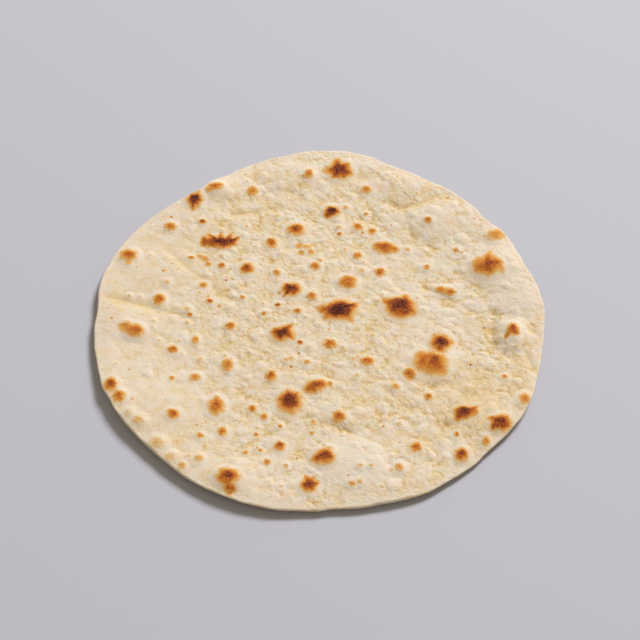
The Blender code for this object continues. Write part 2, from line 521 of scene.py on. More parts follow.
# The crowns that are blisters of the solid too.
LARGE_SPOTS = spot_table(
    (11.9, 6.0, 7.2, 5.4, 1.12), (46.2, 8.0, 6.8, 6.4, 1.06), (12.5, 112.5, 5.5, 5.5, 0.95),
    (98.5, 35.5, 6.0, 5.5, 0.8), (62.8, -32.5, 8.5, 7.6, 0.3), (-60.0, 56.5, 5.0, 3.6, 1.0),
    (-20.5, -11.5, 4.8, 4.2, 1.0), (-16.5, -59.0, 6.0, 6.5, 0.84), (69.0, -18.0, 5.0, 5.2, 1.0),
    (-16.5, 21.0, 4.3, 4.0, 1.0), (-75.5, 89.0, 4.0, 4.0, 1.05), (-14.0, 66.5, 4.8, 4.0, 0.93),
    (7.5, 81.0, 4.0, 3.6, 1.05), (-42.5, 36.5, 3.7, 3.7, 0.9), (-2.0, -48.0, 4.5, 4.3, 0.86),
    (3.0, -96.0, 5.0, 4.6, 0.95), (-5.5, -114.5, 3.8, 3.8, 0.82), (-48.5, -110.5, 5.5, 4.6, 0.95),
    (79.5, -67.5, 4.2, 3.6, 1.0), (99.5, -75.0, 4.8, 4.3, 0.92), (110.0, -11.5, 2.8, 4.0, 0.9),
    (-116.0, -50.0, 3.3, 4.0, 0.9), (77.0, -95.0, 3.2, 3.8, 0.95), (-104.5, -11.5, 4.5, 3.8, 0.8),
    (-112.5, 44.5, 4.5, 4.2, 0.8), (-63.0, 98.5, 4.0, 3.2, 0.75), (39.0, 52.5, 6.0, 3.8, 0.64),
    (16.5, 26.5, 4.8, 3.8, 0.5), (-57.0, -62.5, 4.2, 5.0, 0.72), (104.5, 59.5, 5.0, 4.2, 0.6),
    (113.5, -59.0, 3.0, 3.5, 0.6), (73.5, 19.5, 4.8, 2.6, 0.4),
)

# The lobes, tips and dark cores that make crowns ragged, and the marks of two faint ones.
LOBES = spot_table(
    (9.6, 4.4, 4.6, 3.6, 1.0), (12.0, 9.2, 5.6, 3.4, 0.64), (18.0, 8.4, 4.3, 1.8, 0.85, 25.0),
    (3.6, 6.0, 4.8, 2.8, 0.74, -26.0), (4.6, 1.6, 3.6, 2.2, 0.48, 49.0),
    (17.0, 0.0, 4.6, 1.8, 0.46, -52.0), (10.2, 2.0, 6.2, 2.4, 0.58), (16.3, 4.4, 3.5, 3.8, 0.6),
    (41.0, 10.5, 5.2, 2.3, 0.74, -37.0), (48.9, 13.4, 4.2, 2.2, 0.68, 60.0),
    (50.7, 8.6, 3.6, 4.6, 0.57), (52.6, 5.0, 4.0, 2.6, 0.57, -37.0), (47.6, 3.2, 4.4, 3.0, 0.55),
    (43.0, 6.0, 3.6, 3.4, 0.54), (44.6, 12.0, 4.6, 2.6, 0.59), (11.2, 117.3, 5.4, 2.7, 0.7, 90.0),
    (7.6, 112.4, 4.9, 2.9, 0.64, -17.0), (15.4, 115.0, 3.8, 2.1, 0.7, 48.0),
    (16.2, 111.6, 3.8, 2.1, 0.74, -31.0), (14.4, 109.4, 3.2, 1.7, 0.58, -70.0),
    (9.8, 109.6, 3.2, 1.7, 0.58, 66.0), (99.6, 41.2, 5.5, 3.1, 0.64, 78.0),
    (93.2, 38.0, 3.6, 5.0, 0.48), (93.8, 33.2, 3.2, 3.4, 0.44), (98.8, 31.8, 3.2, 3.4, 0.5),
    (103.8, 37.2, 3.4, 3.7, 0.64), (105.4, 33.8, 4.2, 2.0, 0.42, -62.0), (64.8, -31.6, 3.1, 3.9, 0.74),
    (57.8, -28.6, 4.3, 4.4, 0.53), (57.4, -33.2, 4.2, 4.1, 0.53), (62.6, -28.8, 5.2, 4.4, 0.51),
    (62.3, -35.6, 5.4, 4.4, 0.53), (67.5, -31.6, 4.8, 4.7, 0.54), (67.6, -37.6, 4.3, 4.4, 0.57),
    (69.6, -18.0, 3.6, 3.6, 0.8), (73.4, -17.8, 2.7, 2.0, 0.52), (68.4, -23.0, 2.8, 2.2, 0.6),
    (-68.3, 57.6, 2.2, 3.8, 0.85), (-65.2, 56.2, 2.9, 3.4, 0.78), (-57.0, 56.4, 3.7, 3.4, 0.95),
    (-53.4, 56.8, 3.7, 3.5, 0.95), (-63.4, 60.0, 4.2, 1.5, 0.8, -50.0),
    (-58.6, 60.6, 3.6, 1.8, 0.7, 82.0), (-53.7, 60.2, 4.5, 1.6, 0.74, 65.0),
    (-50.4, 58.7, 3.8, 1.6, 0.82, 44.0), (-18.6, -7.8, 4.2, 2.0, 0.85, 48.0),
    (-23.7, -10.4, 3.7, 1.8, 0.8, -10.0), (-24.8, -8.6, 2.4, 1.4, 0.58, -39.0),
    (-16.8, -13.5, 3.8, 1.3, 0.62, -39.0), (-22.1, -13.8, 2.8, 1.8, 0.66, 78.0),
    (-24.0, -12.6, 2.6, 2.6, 0.56), (-19.4, -10.2, 3.4, 3.4, 0.6), (-18.4, 18.5, 3.6, 1.1, 0.95, 50.0),
    (-19.2, 22.6, 2.4, 3.1, 0.6), (-13.8, 22.4, 2.8, 3.3, 0.58), (-14.6, 20.3, 2.8, 3.0, 0.54),
    (-75.9, 84.4, 4.0, 1.7, 0.74, 82.0), (-75.5, 88.8, 3.2, 3.4, 0.95),
    (-73.3, 84.8, 2.4, 1.2, 0.45, -70.0), (-73.5, 94.2, 2.3, 1.2, 0.42, 57.0),
    (-17.2, -54.8, 4.0, 2.2, 0.77, -84.0), (-13.8, -55.4, 3.5, 2.0, 0.72, 45.0),
    (-19.2, -57.8, 3.3, 2.0, 0.76, -23.0), (-18.8, -60.6, 3.2, 2.0, 0.68, 30.0),
    (-16.3, -61.6, 3.0, 2.6, 0.62, 85.0), (-14.0, -59.8, 2.9, 2.6, 0.76, -25.0),
    (-5.8, -50.2, 2.8, 2.6, 0.66), (1.6, -47.0, 2.6, 2.6, 0.64), (-6.4, -111.0, 3.2, 1.7, 0.74, -72.0),
    (-4.0, -111.2, 2.8, 1.5, 0.6, 66.0), (-3.0, -113.6, 2.8, 1.7, 0.74, 24.0),
    (-7.6, -114.4, 2.4, 2.1, 0.6, -1.0), (-6.8, -116.2, 2.2, 1.8, 0.56, 50.0),
    (-4.0, -116.4, 2.2, 1.8, 0.58, -50.0), (85.0, -65.0, 3.0, 1.3, 0.74, 30.0),
    (85.2, -67.6, 2.4, 2.4, 0.62), (76.5, -70.6, 3.1, 1.6, 0.78, 45.0), (77.4, -66.2, 3.4, 3.1, 0.62),
    (81.2, -66.2, 3.1, 2.8, 0.62), (79.8, -69.4, 3.0, 2.8, 0.6), (94.6, -72.4, 2.8, 1.6, 0.66, -16.0),
    (95.6, -77.6, 2.6, 1.9, 0.8, 38.0), (102.2, -73.0, 2.4, 2.9, 0.57), (100.9, -77.2, 2.8, 2.9, 0.56),
    (97.8, -74.0, 2.8, 3.0, 0.56), (7.3, 80.4, 2.9, 3.0, 0.86), (4.5, 77.6, 1.8, 2.1, 0.75),
    (10.8, 80.8, 2.2, 1.0, 0.5, -14.0), (106.8, -15.0, 3.0, 1.3, 0.64, 58.0),
    (112.0, -14.4, 1.8, 1.4, 0.56), (-1.6, -97.5, 2.6, 3.0, 0.6), (-47.5, -118.0, 3.2, 3.0, 0.7),
    (-110.5, -9.0, 4.6, 3.2, 0.52), (-56.8, -58.6, 3.4, 1.8, 0.52, 90.0), (-67.0, 96.0, 2.3, 2.3, 0.45),
    (34.8, 54.2, 3.0, 2.8, 0.57), (44.4, 51.0, 2.8, 2.3, 0.57), (39.6, 54.4, 3.2, 2.6, 0.54),
    (38.8, 50.4, 3.4, 2.6, 0.52), (13.6, 25.2, 2.6, 2.4, 0.5), (18.8, 28.2, 3.0, 2.4, 0.55),
    (15.8, 29.2, 3.0, 2.4, 0.5), (17.6, 23.8, 3.0, 2.4, 0.5), (70.0, 20.8, 2.8, 2.2, 0.58),
    (76.4, 18.2, 2.8, 2.0, 0.66), (-12.0, 54.5, 2.3, 2.1, 0.5), (-7.5, 53.5, 2.3, 1.8, 0.45),
    (-5.0, 49.5, 1.8, 2.3, 0.5), (-11.0, 49.0, 2.3, 1.8, 0.5), (-70.5, 46.0, 2.5, 1.6, 0.45),
    (-67.0, 44.0, 2.5, 2.1, 0.5), (-65.5, 40.0, 1.8, 1.7, 0.6),
)

# The smaller crowns, whose blisters the solid leaves out.
SMALL_SPOTS = spot_table(
    (-111.0, -58.0, 3.2, 3.7, 0.75), (-89.0, 67.5, 3.2, 2.8, 0.7), (-92.5, 12.5, 3.0, 4.0, 0.75),
    (-80.5, -69.0, 3.3, 3.0, 0.75), (-28.5, 56.5, 3.0, 3.7, 0.8), (-51.0, -6.0, 2.8, 2.8, 0.75),
    (-51.5, -34.0, 3.0, 4.2, 0.65), (-83.0, -23.0, 2.7, 2.4, 0.8), (-69.5, -42.5, 3.0, 2.6, 0.6),
    (-40.5, 96.5, 3.0, 4.2, 0.65), (28.5, 97.5, 3.0, 3.0, 0.6), (23.0, 69.0, 2.7, 2.7, 0.7),
    (31.5, 65.5, 2.2, 2.2, 0.75), (22.5, 46.5, 2.7, 2.5, 0.65), (-2.5, 38.5, 3.0, 2.8, 0.65),
    (35.5, 34.0, 2.8, 2.8, 0.75), (-4.5, 16.0, 2.6, 2.6, 0.7), (6.0, -19.0, 3.7, 3.2, 0.7),
    (27.0, -31.0, 3.7, 3.0, 0.75), (-27.0, -41.0, 2.8, 3.5, 0.8), (11.0, -69.5, 3.2, 3.4, 0.8),
    (-21.5, -89.0, 2.6, 3.0, 0.85), (50.5, -40.0, 3.3, 3.8, 0.7), (90.5, -86.5, 2.3, 3.0, 0.6),
    (52.5, -89.5, 2.8, 3.0, 0.8), (60.5, -55.5, 2.2, 2.2, 0.75), (65.0, 71.0, 2.3, 2.3, 0.7),
    (-53.0, -79.5, 2.2, 3.0, 0.7), (-6.5, 109.0, 2.5, 3.6, 0.7), (42.5, -48.5, 2.5, 2.2, 0.5),
    (43.0, -103.0, 2.5, 2.5, 0.5), (-25.0, 33.5, 2.4, 2.2, 0.6), (-12.5, 5.0, 2.3, 1.7, 0.75),
    (-70.0, 72.0, 2.0, 1.7, 0.9), (-57.5, 39.0, 2.0, 2.0, 0.8), (-75.5, 44.5, 2.0, 1.3, 0.7),
    (-67.5, 24.5, 2.3, 2.0, 0.65), (-63.5, 12.5, 1.8, 1.6, 0.85), (-74.5, 2.5, 1.5, 1.2, 0.8),
    (-70.5, -16.0, 2.0, 2.8, 0.55), (-82.5, -43.5, 1.5, 1.5, 0.6), (-44.5, 15.0, 1.5, 1.5, 0.6),
    (-24.0, 9.5, 1.5, 1.5, 0.9), (-32.0, 3.0, 1.4, 1.4, 0.75), (-11.0, -17.5, 1.5, 1.4, 0.9),
    (-7.0, -31.5, 1.8, 1.8, 0.5), (6.0, -46.5, 1.5, 1.5, 0.6), (12.0, 63.5, 1.3, 1.2, 0.85),
    (28.0, 79.0, 1.4, 1.2, 0.6), (80.5, 49.5, 1.7, 1.7, 0.55), (63.0, 37.5, 1.8, 1.8, 0.6),
    (103.5, -43.0, 1.5, 1.3, 0.65), (75.0, -81.5, 1.3, 1.6, 0.7), (-37.0, -63.5, 2.1, 2.1, 0.75),
    (-30.5, -69.0, 2.0, 2.0, 0.6), (-21.5, -75.5, 1.3, 1.3, 0.6), (-34.5, -81.0, 1.5, 1.3, 0.65),
    (-40.0, -93.5, 1.4, 1.4, 0.6), (-32.0, -91.5, 1.3, 1.0, 0.65), (-28.0, -99.5, 1.9, 1.9, 0.65),
    (-65.0, -82.5, 2.2, 2.0, 0.55), (-18.0, -102.0, 1.2, 1.5, 0.5), (17.5, -114.0, 1.8, 1.8, 0.5),
    (28.0, -102.5, 1.3, 1.0, 0.4), (22.0, -102.5, 1.8, 1.3, 0.35), (-3.5, -72.5, 1.6, 1.4, 0.5),
    (-4.0, -80.0, 1.5, 1.3, 0.55), (-105.0, -70.0, 3.0, 3.0, 0.2), (-99.0, -74.5, 3.6, 3.4, 0.3),
    (-88.0, -88.5, 4.0, 3.5, 0.3), (-80.5, -98.0, 4.0, 3.5, 0.25), (-74.0, -103.0, 2.2, 2.2, 0.45),
    (-65.0, -98.0, 2.6, 2.4, 0.4),
)

# Specks burnt almost black.
SPECKS = spot_table(
    (-54.5, 28.0, 0.6, 0.6, 1.0), (85.0, -34.0, 0.6, 0.6, 1.0), (-11.5, -25.0, 0.6, 0.5, 1.0),
    (-16.0, -34.5, 0.6, 0.7, 1.0), (43.0, 69.5, 0.6, 0.4, 1.0), (-12.0, -96.5, 0.5, 0.6, 1.0),
)


# ---------------------------------------------------------------- small helpers on arrays


def smooth_step(start: float, end: float, given: np.ndarray) -> np.ndarray:
    """Ease numbers from 0 at start to 1 at end."""
    share = np.clip((given - start) / (end - start), 0.0, 1.0)
    return share * share * (3.0 - 2.0 * share)


def mound(x: np.ndarray, y: np.ndarray, place: Swell | Wrinkles | DustingAndShade) -> np.ndarray:
    """A rounded mound of height 1 that ends on an ellipse.

    Args:
        x: where it is read, across.
        y: where it is read, along.
        place: what gives its middle, half width and half depth.

    Returns:
        The mound's height at each point.
    """
    across = (x - place.x) / place.half_width
    along = (y - place.y) / place.half_depth
    return np.clip(1.0 - across**2 - along**2, 0.0, None) ** MOUND_POWER


def clouds(x: np.ndarray, y: np.ndarray, size: float, place: float) -> np.ndarray:
    """Smooth noise between about -0.7 and 0.7 whose clouds are size across."""
    return np.array([noise.noise((u, v, place)) for u, v in zip(x / size, y / size)])


def cells(x: np.ndarray, y: np.ndarray, size: float, place: float = 0.0) -> np.ndarray:
    """Rounded cells between about -0.5 and 0.35, divided by creases.

    Args:
        x: where they are read, across.
        y: where they are read, along.
        size: the size of a cell.
        place: tells one set of cells from another.

    Returns:
        The cells' height at each point.
    """
    points = zip(x / size + place, y / size)
    nearest = np.array([noise.voronoi((u, v, place))[0][0] for u, v in points])
    return CELL_LEVEL - nearest**2


def scattered(draw: random.Random, count: int, reach: float, sizes: Span, burns: Span) -> list[Spot]:
    """Scatter round spots over the bread.

    Args:
        draw: the source of random numbers.
        count: how many spots.
        reach: how far from the middle they may lie.
        sizes: the smallest and the largest half width.
        burns: the palest and the darkest.

    Returns:
        The spots, smaller ones more often than larger ones.
    """
    spots = []
    for _ in range(count):
        away = reach * math.sqrt(draw.random())
        angle = draw.uniform(0.0, math.tau)
        size = sizes[0] + (sizes[1] - sizes[0]) * draw.random() ** SCATTER_POWER
        burn = draw.uniform(*burns)
        spots.append(Spot(away * math.cos(angle), away * math.sin(angle), size, size, burn))
    return spots


# ---------------------------------------------------------------- the form of the bread


@dataclass(frozen=True)
class Outline:
    """The outline of the bread, as radii at even steps of a turn, with bulges and a slight ripple."""

    radii: tuple[float, ...] = RIM_RADII
    bulges: tuple[Bulge, ...] = BULGES
    ripple: float = 0.5
    ripple_length: float = 9.0

    def radius(self, angle: np.ndarray) -> np.ndarray:
        """The radius at each angle: a smooth closed curve through the radii, with its bulges and ripple.

        Args:
            angle: angles from +X towards +Y, in radians.

        Returns:
            Radii in millimetres.
        """
        place = angle / math.tau * len(self.radii)
        index = np.floor(place).astype(int)
        share = place - index
        around = (np.take(self.radii, index + step, mode="wrap") for step in (-1, 0, 1, 2))
        before, start, end, after = around
        tangent = (end - before) / 2.0
        next_tangent = (after - start) / 2.0
        rise = end - start
        curve = start + share * tangent
        curve += share**2 * (3.0 * rise - 2.0 * tangent - next_tangent)
        curve += share**3 * (tangent + next_tangent - 2.0 * rise)
        for bulge in self.bulges:
            aside = np.degrees(angle) - bulge.angle
            aside = (aside + HALF_TURN) % FULL_TURN - HALF_TURN
            curve += bulge.out * np.clip(1.0 - (aside / bulge.half_turn) ** 2, 0.0, None) ** 2
        reach = start / self.ripple_length
        ripple = clouds(np.cos(angle) * reach, np.sin(angle) * reach, 1.0, 0.0)
        return curve + self.ripple * ripple


@dataclass(frozen=True)
class Sheet:
    """The sheet of dough: its thickness, how it lies and its relief."""

    outline: Outline = Outline()
    thickness: float = 2.5
    rim_thickness: float = 1.7
    rim_taper: float = 9.0
    least_thickness: float = 1.2
    lift_starts: float = 60.0
    lift: float = 3.8
    lift_power: int = 2
    lift_swing: float = 1.3
    lift_swings: float = 2.0
    lift_turn: float = 0.7
    rim_wave: float = 0.5
    rim_waves: int = 9
    settle: float = 0.1
    hollow_size: float = 17.0
    hollow_height: float = 1.7
    hollow_place: float = 310.0
    flat_middle: Span = (10.0, 30.0)
    blister: Rise = Rise(spread=1.7, skirt=2.0, steepness=0.16, highest=1.5, power=1.8)
    small_blister: Rise = Rise(spread=1.7, skirt=2.0, steepness=0.16, highest=1.3, power=1.8)
    bubble: Rise = Rise(spread=1.0, skirt=0.0, steepness=0.14, highest=0.8, power=1.3, moat=0.12)
    bubble_warp: float = 2.4
    bubble_warp_size: float = 7.0
    bubble_warp_places: Span = (71.0, 73.0)
    moat_reach: float = 1.6
    moat_width: float = 0.25
    moat_fill: float = 0.3
    pebble_size: float = 10.0
    pebble_height: float = 0.6
    smooth_side: Span = (-95.0, -35.0)
    smooth_share: float = 0.45
    blister_calm: float = 0.85
    blister_edge: float = 0.2
    patch_size: float = 24.0
    patch_place: float = 61.0
    rough_patches: Span = (-0.25, 0.25)
    least_rough: float = 0.5
    slant: float = math.radians(-40.0)
    stretch: float = 1.35
    warp: float = 2.2
    warp_size: float = 8.0
    warp_places: Span = (3.0, 8.0)
    crinkle_level: float = 0.2
    hollow_range: Span = (0.2, -0.35)
    pebbles_in_hollows: float = 0.35
    skin_in_hollows: float = 1.4
    valleys_in_hollows: float = 0.25
    # Less white in the valleys: partly tan dough, partly painted shade.
    valley_tan_and_shade: float = 0.85

    def rim_lift(self, x: np.ndarray, y: np.ndarray) -> np.ndarray:
        """How far the sheet rises towards its rim, a little more on some sides than on others.

        Args:
            x: where it is read, across.
            y: where it is read, along.

        Returns:
            Heights in millimetres.
        """
        angle = np.arctan2(y, x)
        start = self.lift_starts
        away = np.hypot(x, y)
        rim = self.outline.radius(angle)
        share = np.clip((away - start) / (rim - start), 0.0, 1.0) ** self.lift_power
        swing = self.lift_swing * np.sin(self.lift_swings * angle + self.lift_turn)
        wave = self.rim_wave * np.sin(self.rim_waves * angle)
        return share * (self.lift + (swing + wave))

    def bend(self, x: np.ndarray, y: np.ndarray) -> np.ndarray:
        """How far the whole sheet stands over the resting plane."""
        return self.rim_lift(x, y) + sum(swell.height * mound(x, y, swell) for swell in SWELLS)

    @staticmethod
    def valleys(x: np.ndarray, y: np.ndarray) -> np.ndarray:
        """How deep the valleys of the top are.

        Args:
            x: where it is read, across.
            y: where it is read, along.

        Returns:
            Depths in millimetres, 0 outside the valleys.
        """
        depth = np.zeros_like(x)
        for valley in VALLEYS:
            run = np.array((valley.end_x - valley.start_x, valley.end_y - valley.start_y))
            offset = np.stack((x - valley.start_x, y - valley.start_y), -1)
            share = np.clip(offset @ run / (run @ run), 0.0, 1.0)
            distance = np.linalg.norm(offset - share[:, None] * run, axis=1)
            bank = np.clip(1.0 - distance / valley.half_width, 0.0, None)
            depth = np.maximum(depth, valley.depth * bank**2)
        return depth

    def raised(self, x: np.ndarray, y: np.ndarray, spots: Sequence[Spot], rise: Rise) -> np.ndarray:
        """How high the blisters under some spots stand, with the moats round them.

        Args:
            x: where it is read, across.
            y: where it is read, along.
            spots: the spots.
            rise: how they rise from the sheet.

        Returns:
            Heights in millimetres.
        """
        height = np.zeros_like(x)
        moats = np.zeros_like(x)
        for spot in spots:
            half_width = rise.spread * spot.half_width + rise.skirt
            half_depth = rise.spread * spot.half_depth + rise.skirt
            reach = self.moat_reach * max(half_width, half_depth)
            near = np.flatnonzero(np.hypot(x - spot.x, y - spot.y) < reach)
            away = np.hypot((x[near] - spot.x) / half_width, (y[near] - spot.y) / half_depth)
            peak = min(rise.steepness * (half_width + half_depth) / 2.0, rise.highest)
            dome = peak * np.clip(1.0 - away**2, 0.0, None) ** rise.power
            ring = peak * rise.moat * np.exp(-(((away - 1.0) / self.moat_width) ** 2))
            height[near] = np.maximum(height[near], dome)
            moats[near] = np.maximum(moats[near], ring)
        return height - moats * (1.0 - smooth_step(0.0, self.moat_fill, height))

    def calm(self, x: np.ndarray, y: np.ndarray) -> np.ndarray:
        """How much of the pebbled skin is left: less on the smooth side and on the smooth swells.

        Args:
            x: where it is read, across.
            y: where it is read, along.

        Returns:
            Shares from 0 to 1.
        """
        left = self.smooth_share + (1.0 - self.smooth_share) * smooth_step(*self.smooth_side, x)
        for swell in SWELLS:
            left = left * (1.0 - swell.calm * np.sqrt(mound(x, y, swell)))
        return left

    def pebbles(self, x: np.ndarray, y: np.ndarray) -> np.ndarray:
        """The pebbled skin."""
        return self.pebble_height * self.calm(x, y) * cells(x, y, self.pebble_size)

    @staticmethod
    def _warped(
        x: np.ndarray, y: np.ndarray, reach: float, size: float, places: Span
    ) -> tuple[np.ndarray, np.ndarray]:
        """Places shifted by up to about reach, by smooth noise whose clouds are size across.

        Args:
            x: the places, across.
            y: the places, along.
            reach: how far they shift.
            size: the size of a cloud of the noise.
            places: what tells the noise for x and for y apart.

        Returns:
            The shifted x and y.
        """
        return x + reach * clouds(x, y, size, places[0]), y + reach * clouds(x, y, size, places[1])

    def skin(self, x: np.ndarray, y: np.ndarray, blisters: np.ndarray) -> np.ndarray:
        """The finer relief of the skin: knobs, crinkles and wrinkles, drawn out along a slant.

        Args:
            x: where it is read, across.
            y: where it is read, along.
            blisters: how high the blisters stand there; they are smoother.

        Returns:
            Heights in millimetres.
        """
        cosine, sine = math.cos(self.slant), math.sin(self.slant)
        along = (x * cosine + y * sine) / self.stretch
        across = y * cosine - x * sine
        bent = self._warped(along, across, self.warp, self.warp_size, self.warp_places)
        height = np.zeros_like(x)
        for knob in KNOBS:
            height += knob.height * cells(*bent, knob.size, knob.place)
        for crinkle in CRINKLES:
            ridges = np.abs(clouds(*bent, crinkle.size, crinkle.place))
            height += crinkle.height * (ridges - self.crinkle_level)
        for patch in WRINKLES:
            drawn_out = along / patch.length * patch.spacing
            ridges = clouds(drawn_out, bent[1], patch.spacing, patch.place)
            height += patch.height * ridges * mound(x, y, patch)
        patches = smooth_step(*self.rough_patches, clouds(x, y, self.patch_size, self.patch_place))
        rough = self.least_rough + (1.0 - self.least_rough) * patches
        return height * self.calm(x, y) * self.bare(blisters) * rough

    def bare(self, blisters: np.ndarray) -> np.ndarray:
        """How much of the skin's relief is left on the blisters, by their height."""
        return 1.0 - self.blister_calm * smooth_step(0.0, self.blister_edge, blisters)

    def underside(self, x: np.ndarray, y: np.ndarray) -> np.ndarray:
        """Height of the underside: hollow under the swells and between the places where it rests.

        Args:
            x: where it is read, across.
            y: where it is read, along.

        Returns:
            Heights in millimetres, 0 where it rests.
        """
        hollow = self.hollow_height * cells(x, y, self.hollow_size, self.hollow_place)
        hollow *= smooth_step(*self.flat_middle, np.hypot(x, y))
        return np.clip(self.bend(x, y) + hollow - self.settle, 0.0, None)

    def top(
        self,
        x: np.ndarray,
        y: np.ndarray,
        inset: np.ndarray,
        pimples: Sequence[Spot],
        bubbles: Sequence[Spot],
    ) -> tuple[np.ndarray, dict[str, np.ndarray]]:
        """Height of the top, and the shares that its finish reads.

        Args:
            x: where it is read, across.
            y: where it is read, along.
            inset: how far each point lies in from the rim.
            pimples: the small toasted bumps that the solid leaves out.
            bubbles: the pale bubbles that the solid leaves out.

        Returns:
            Heights in millimetres, and the shares by name: "hollow", from 0 on a bump to 1 in a hollow,
            which the finish paints tan, partly the dough's own tone and partly painted shade; the share
            of dusting and painted shade, larger where the dough is whiter, smaller in the valleys and
            below 0 where shade is painted; and "rough", from 0 on smooth blisters to 1 on the pebbled
            skin.
        """
        gain = self.thickness - self.rim_thickness
        thickness = self.rim_thickness + gain * smooth_step(0.0, self.rim_taper, inset)
        blisters = self.raised(x, y, LARGE_SPOTS, self.blister)
        small = self.raised(x, y, [*SMALL_SPOTS, *pimples], self.small_blister)
        bent = self._warped(x, y, self.bubble_warp, self.bubble_warp_size, self.bubble_warp_places)
        pale = self.raised(*bent, bubbles, self.bubble)
        bumps = np.where(blisters > 0.0, np.maximum(blisters, small), small)
        bumps = np.where(bumps > 0.0, np.maximum(bumps, pale), bumps + pale)
        pebbles = self.pebbles(x, y)
        skin = self.skin(x, y, bumps)
        valleys = self.valleys(x, y)
        relief = (bumps + pebbles + skin - valleys) * smooth_step(-self.rim_taper, self.rim_taper, inset)
        # The finish paints the hollow share tan: partly the dough's own tone, partly painted shade in
        # the hollows and valleys.
        uneven = bumps + self.pebbles_in_hollows * pebbles + self.skin_in_hollows * skin
        hollow = smooth_step(*self.hollow_range, uneven - self.valleys_in_hollows * valleys)
        hollow = hollow * smooth_step(0.0, self.rim_taper, inset)
        # Dusted patches, with painted shade where their share is below 0, and less white in the valleys,
        # partly painted shade.
        patches = [patch.share * mound(x, y, patch) for patch in DUSTINGS_AND_SHADES]
        flour_and_shade = np.max(patches, axis=0) + np.min(patches, axis=0)
        shares = {
            "hollow": hollow,
            "flour_and_shade": flour_and_shade - self.valley_tan_and_shade * valleys,
            "rough": self.calm(x, y) * self.bare(blisters),
        }
        return self.bend(x, y) + thickness + relief, shares


# ---------------------------------------------------------------- finishes


@dataclass(frozen=True)
class Shade:
    """A shade of a toasted spot: its strength, where it fades out, in half widths, and its streaks."""

    strength: float
    fade: Span
    streaked: float = 0.0

    def drawn(self, sheet: NodeSheet, away: Value, streaks: Value) -> Value:
        """Draw the shade round the middle of a spot.

        Args:
            sheet: the material's node tree.
            away: how far the middle of the spot is, in half widths.
            streaks: noise that runs outwards in streaks.

        Returns:
            How strong the shade is.
        """
        return self.strength * (1.0 - sheet.ease(away + self.streaked * streaks, *self.fade))


